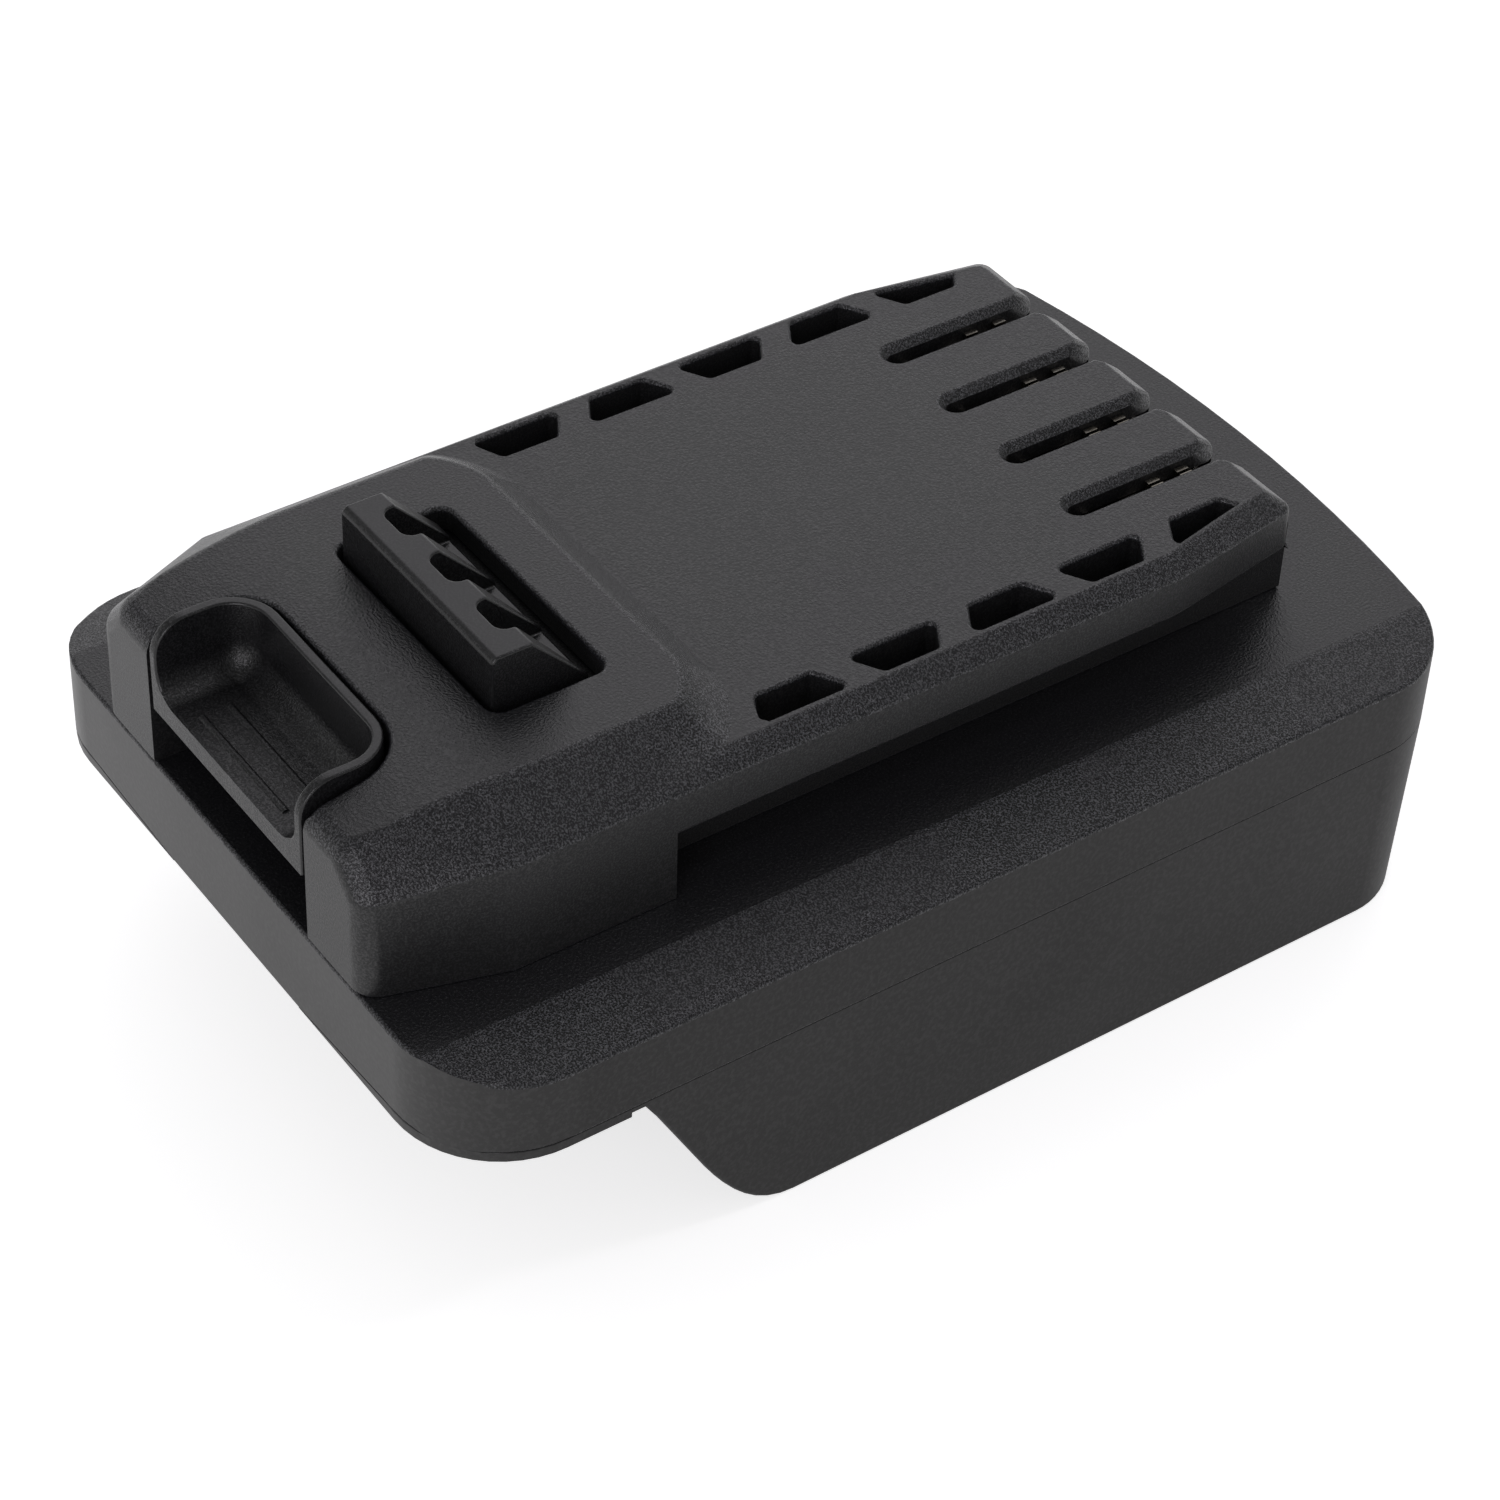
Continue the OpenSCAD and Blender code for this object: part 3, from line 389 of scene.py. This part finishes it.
def cover_radius(middle, edge):
    """Soft edges on the rail cover: wide on the block, finer on rails, plate, vents and slots."""
    x, y, z = abs(middle.x), middle.y, middle.z
    if near(z, FLANGE_TOP):
        outline = x > HALF_NECK - SLACK or y > NECK_BACK or y < FRONT + 2 * SLACK
        return COVER_FOOT_ROUND if outline else 0
    if near(z, RAIL_BOTTOM) and x > HALF_NECK + SLACK:
        return RAIL_ROUND
    if near(z, CHAMFER_FOOT, CHAMFER_MARGIN) and (x > RAIL_INSIDE or y > FINGER_TIPS):
        return CHAMFER_ROUND
    if near(z, PLATE_TOP) and y > PLATE_FRONT:
        upright = min(abs(face.normal.z) for face in edge.link_faces) < UPRIGHT
        return VENT_ROUND if upright else PLATE_ROUND
    if z > PLATE_TOP + BLOCK_CLEAR and not near(z, BLOCK_UNDERSIDE):
        return BLOCK_ROUND
    return 0


def housing_radius(middle, edge):
    """Rounded rim of the upper housing, and its edge at the seam: wider at the front lip."""
    x, y, z = abs(middle.x), middle.y, middle.z
    outside = x > HALF_WIDTH - SIDE_BAND or y < FRONT + FRONT_BAND or y > BACK - BACK_BAND
    if z > FLANGE_TOP - RIM_DROP and outside:
        return HOUSING_ROUND
    if z < SEAM + HAIR and outside:
        return LIP_ROUND if y < LIP_BACK else SEAM_ROUND
    return 0


def skirt_radius(middle, edge):
    """Rounded foot and sides of the lower housing, and its edge at the seam: wider at the front lip."""
    x, y, z = abs(middle.x), middle.y, middle.z
    outside = x > HALF_WIDTH - SEAM_BAND or y < FRONT + FRONT_BAND or y > BACK - BACK_BAND
    if near(z, SEAM) and outside:
        return LIP_ROUND if y < LIP_BACK else SEAM_ROUND
    if (z < SEAM - SKIRT_CLEAR and x > HALF_WIDTH - SKIRT_BAND) or z < HAIR:
        return HOUSING_ROUND
    return 0


def terminal_radius(middle, edge):
    """Rounded rim and corners of the block that holds the battery blades."""
    low, high = (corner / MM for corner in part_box("terminal_block"))
    corner = middle.z < high.z - TERMINAL_TOP and abs(middle.x) > high.x - TERMINAL_CORNER
    return TERMINAL_ROUND if middle.z < low.z + HAIR or corner else 0


def latch_radius(middle, edge):
    """Rounded rim of the scoop and fine edges on the catch; the ridges on the scoop's floor stay crisp."""
    if middle.z < SCOOP_LOW and middle.y < SCOOP_FLOOR_BACK and abs(middle.x) < HALF_SCOOP:
        return 0
    if middle.z > BLOCK_UNDERSIDE + CATCH_CLEAR or middle.y < SCOOP_BACK:
        return LATCH_ROUND
    return 0


vent_middles = [FIRST_VENT + i * VENT_PITCH for i in range(VENT_COUNT)]
cover = start_copy("tool_rail_cover", "rail_cover_moulding", [CATCH_MIDDLE] + vent_middles)
# Sloping faces and the rounded edges take the grained ABS, whose light crests are partly painted glints
paint(
    cover, [level_abs, grain_and_glint_abs, wall_abs],
    lambda middle, normal: 0 if normal.z > LEVEL else 1 if normal.z > SLOPE else 2,
)
round_edges(cover, cover_radius, BLOCK_ROUND, rim=1)
seat(cover, "tool_rail_cover", BODY)

upper = start_copy("upper_housing", "upper_housing_moulding")
# The shoulders and the rounded rim take the grained ABS, whose light crests are partly painted glints
paint(
    upper, [satin_abs, grain_and_glint_abs, level_abs],
    lambda middle, normal: (
        2 if normal.z > FLAT else 1 if normal.z > SLOPE and middle.z > SHOULDER_FOOT else 0
    ),
)
round_edges(upper, housing_radius, HOUSING_ROUND, rim=1)
seat(upper, "upper_housing", BODY)

skirt = start_copy("lower_housing", "lower_housing_moulding")
paint(skirt, [satin_abs], lambda middle, normal: 0)
round_edges(skirt, skirt_radius, HOUSING_ROUND)
seat(skirt, "lower_housing", BODY)

catch = start_copy("release_latch", "release_latch_moulding")
paint(
    catch, [latch_nylon, rubbed_nylon],
    lambda middle, normal: 1 if normal.z > LEVEL and middle.z > BLOCK_UNDERSIDE else 0,
)
round_edges(catch, latch_radius, LATCH_ROUND, rim=1)
seat(catch, "release_latch", LATCH)

terminal = start_copy("terminal_block", "terminal_block_moulding")
paint(terminal, [inner_polypropylene], lambda middle, normal: 0)
round_edges(terminal, terminal_radius, TERMINAL_ROUND)
seat(terminal, "terminal_block", BODY)


# Housing screws, with the cross recess for the screwdriver

HEAD_RADIUS = 2.66
HEAD_SMOOTH = math.radians(35)
RECESS_SPAN, RECESS_WALL, RECESS_DEPTH = 4.2, 0.95, 1.2
RECESS_TAPER = 0.45


def recess_wings(spots, width, length):
    """Tapered wedges, one in each screw head, joined in one mesh; width by length is before the taper."""
    wedges = []
    for spot in spots:
        bpy.ops.object.select_all(action="DESELECT")
        bpy.ops.mesh.primitive_cube_add(size=1.0, location=spot)
        bpy.ops.transform.resize(value=(width * MM, length * MM, 2 * RECESS_DEPTH * MM))
        bpy.ops.object.transform_apply(location=True, rotation=True, scale=True)
        wedge = bpy.context.active_object
        bpy.ops.object.mode_set(mode="EDIT")
        bpy.ops.mesh.select_all(action="DESELECT")
        mesh = bmesh.from_edit_mesh(wedge.data)
        for face in mesh.faces:
            face.select = face.normal.z > LEVEL
        bmesh.update_edit_mesh(wedge.data)
        bpy.ops.transform.resize(value=(RECESS_TAPER, RECESS_TAPER, 1.0), center_override=spot)
        bpy.ops.object.mode_set(mode="OBJECT")
        wedges.append(wedge)
    for wedge in wedges:
        wedge.select_set(True)
    bpy.ops.object.join()
    return bpy.context.active_object


low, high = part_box("housing_screws")
inset = HEAD_RADIUS * MM
head_spots = [
    (x, y, low.z)
    for x in (low.x + inset, high.x - inset)
    for y in (low.y + inset, high.y - inset)
]
screws = start_copy("housing_screws", "housing_screw_set")
bpy.ops.object.mode_set(mode="OBJECT")
for width, length in ((RECESS_SPAN, RECESS_WALL), (RECESS_WALL, RECESS_SPAN)):
    wings = recess_wings(head_spots, width, length)
    bpy.ops.object.select_all(action="DESELECT")
    bpy.context.view_layer.objects.active = screws
    recess = screws.modifiers.new("recess", "BOOLEAN")
    recess.object = wings
    bpy.ops.object.modifier_apply(modifier=recess.name)
    wings.select_set(True)
    bpy.ops.object.delete()
bpy.context.view_layer.objects.active = screws
screws.select_set(True)
bpy.ops.object.shade_smooth_by_angle(angle=HEAD_SMOOTH)
seat(screws, "housing_screws", BODY)


# Latch springs, shaded smooth

WIRE_SMOOTH = math.radians(65)

for node in ("latch_spring_left", "latch_spring_right"):
    low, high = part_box(node)
    coil = start_copy(node, node + "_coil")
    bpy.ops.object.mode_set(mode="OBJECT")
    bpy.ops.object.shade_smooth_by_angle(angle=WIRE_SMOOTH)
    seat(coil, node, BODY)
    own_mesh(coil)


# Floor: white paper, which glows for the camera and, more weakly, in what mirrors it, so that it stays white

FLOOR_SIZE = 6.0
WHITE = linear("#ffffff")
SEEN_LIFT, MIRRORED_LIFT = 0.66, 0.3

bpy.ops.object.select_all(action="DESELECT")
bpy.ops.mesh.primitive_plane_add(size=FLOOR_SIZE, location=(0, 0, 0))
floor = bpy.context.active_object
floor.name = "studio_floor"
paper, tree = blank_material("white_paper_sweep")
rays = add(tree, "LightPath").outputs
mirrored = add(tree, "Math", {0: rays["Is Glossy Ray"], 1: rays["Is Transmission Ray"]}, operation="MAXIMUM")
share = add(tree, "Math", {0: mirrored.outputs[0], 1: MIRRORED_LIFT}, operation="MULTIPLY")
lift = add(
    tree, "Math", {0: rays["Is Camera Ray"], 1: SEEN_LIFT, 2: share.outputs[0]}, operation="MULTIPLY_ADD",
)
matt = add(tree, "BsdfDiffuse", {"Color": linear("#f0f0f0")})
glow = add(tree, "Emission", {"Color": WHITE, "Strength": lift.outputs[0]})
sheet = add(tree, "AddShader", {0: matt.outputs[0], 1: glow.outputs[0]})
add(tree, "OutputMaterial", {"Surface": sheet.outputs[0]})
floor.data.materials.append(paper)


# Light: a dim white room, brighter on the far side and at the horizon, and three softboxes.
# The camera itself sees a plain white backdrop.

FAR_GLOW, NEAR_GLOW = 0.4, 0.3
FAR_END, NEAR_END = -0.4, 0.5
HORIZON_GLOW = 0.5
HORIZON_LOW, HORIZON_HIGH = 0.05, 0.3
COOL_WHITE = linear("#fcf9ff")
LAMP_DISTANCE = 0.9
OBJECT_MIDDLE = Vector((0, 0, 30)) * MM

world = bpy.data.worlds.new("studio")
bpy.context.scene.world = world
world.use_nodes = True
tree = world.node_tree
tree.nodes.clear()
rays = add(tree, "LightPath").outputs
compass = add(tree, "SeparateXYZ", {"Vector": add(tree, "TexCoord").outputs["Generated"]}).outputs
sides = add(tree, "MapRange", {
    "Value": compass["X"], "From Min": FAR_END, "From Max": NEAR_END,
    "To Min": FAR_GLOW, "To Max": NEAR_GLOW,
})
horizon = add(tree, "MapRange", {
    "Value": compass["Z"], "From Min": HORIZON_LOW, "From Max": HORIZON_HIGH,
    "To Min": HORIZON_GLOW, "To Max": 0.0,
})
total = add(tree, "Math", {0: sides.outputs["Result"], 1: horizon.outputs["Result"]}, operation="ADD")
around = add(tree, "Background", {"Color": WHITE, "Strength": total.outputs[0]})
backdrop = add(tree, "Background", {"Color": WHITE, "Strength": 1.0})
sky = add(tree, "MixShader", {0: rays["Is Camera Ray"], 1: around.outputs[0], 2: backdrop.outputs[0]})
add(tree, "OutputWorld", {"Surface": sky.outputs[0]})


def softbox(name, toward, size, radiance):
    """A square soft light in a direction from the object, facing it; size in metres."""
    direction = Vector(toward).normalized()
    data = bpy.data.lights.new(name, "AREA")
    data.size = size
    data.energy = radiance * math.pi * size * size
    data.color = COOL_WHITE[:3]
    lamp = bpy.data.objects.new(name, data)
    lamp.location = OBJECT_MIDDLE + direction * LAMP_DISTANCE
    lamp.rotation_euler = direction.to_track_quat("Z", "Y").to_euler()
    bpy.context.scene.collection.objects.link(lamp)


softbox("backdrop_left", toward=(-0.613, 0.449, 0.65), size=0.9, radiance=0.64)
softbox("fill_front_right", toward=(0.55, -0.72, 0.42), size=0.45, radiance=2.8)
softbox("spark_right", toward=(0.3, 0.45, 0.84), size=0.1, radiance=14.0)


# Camera: where the photograph was taken from, worked out on 1500 x 1500 pixels

PIXELS = 1500
FOCAL = 4104.7
AZIMUTH, ELEVATION, ROLL = (math.radians(angle) for angle in (53.77, 40.53, 2.45))
TARGET = Vector((7.33, -9.73, 30.0)) * MM
DISTANCE = 386.03 * MM
OFF_CENTRE = (-22.15, -38.55)
SENSOR = 36.0

away = Vector((
    math.sin(AZIMUTH) * math.cos(ELEVATION), -math.cos(AZIMUTH) * math.cos(ELEVATION), math.sin(ELEVATION),
))
flat = Vector((math.cos(AZIMUTH), math.sin(AZIMUTH), 0))
rise = away.cross(flat)
right = flat * math.cos(ROLL) + rise * math.sin(ROLL)
up = rise * math.cos(ROLL) - flat * math.sin(ROLL)
turn = Matrix((right, up, away)).transposed().to_4x4()
view = bpy.data.cameras.new("photo_view")
view.sensor_width = SENSOR
view.lens = FOCAL / PIXELS * SENSOR
view.shift_x = -OFF_CENTRE[0] / PIXELS
view.shift_y = OFF_CENTRE[1] / PIXELS
view.clip_start, view.clip_end = 0.01, 20.0
camera = bpy.data.objects.new("photo_view", view)
camera.matrix_world = Matrix.Translation(TARGET + away * DISTANCE) @ turn
bpy.context.scene.collection.objects.link(camera)
bpy.context.scene.camera = camera
bpy.context.scene.view_settings.view_transform = "Standard"
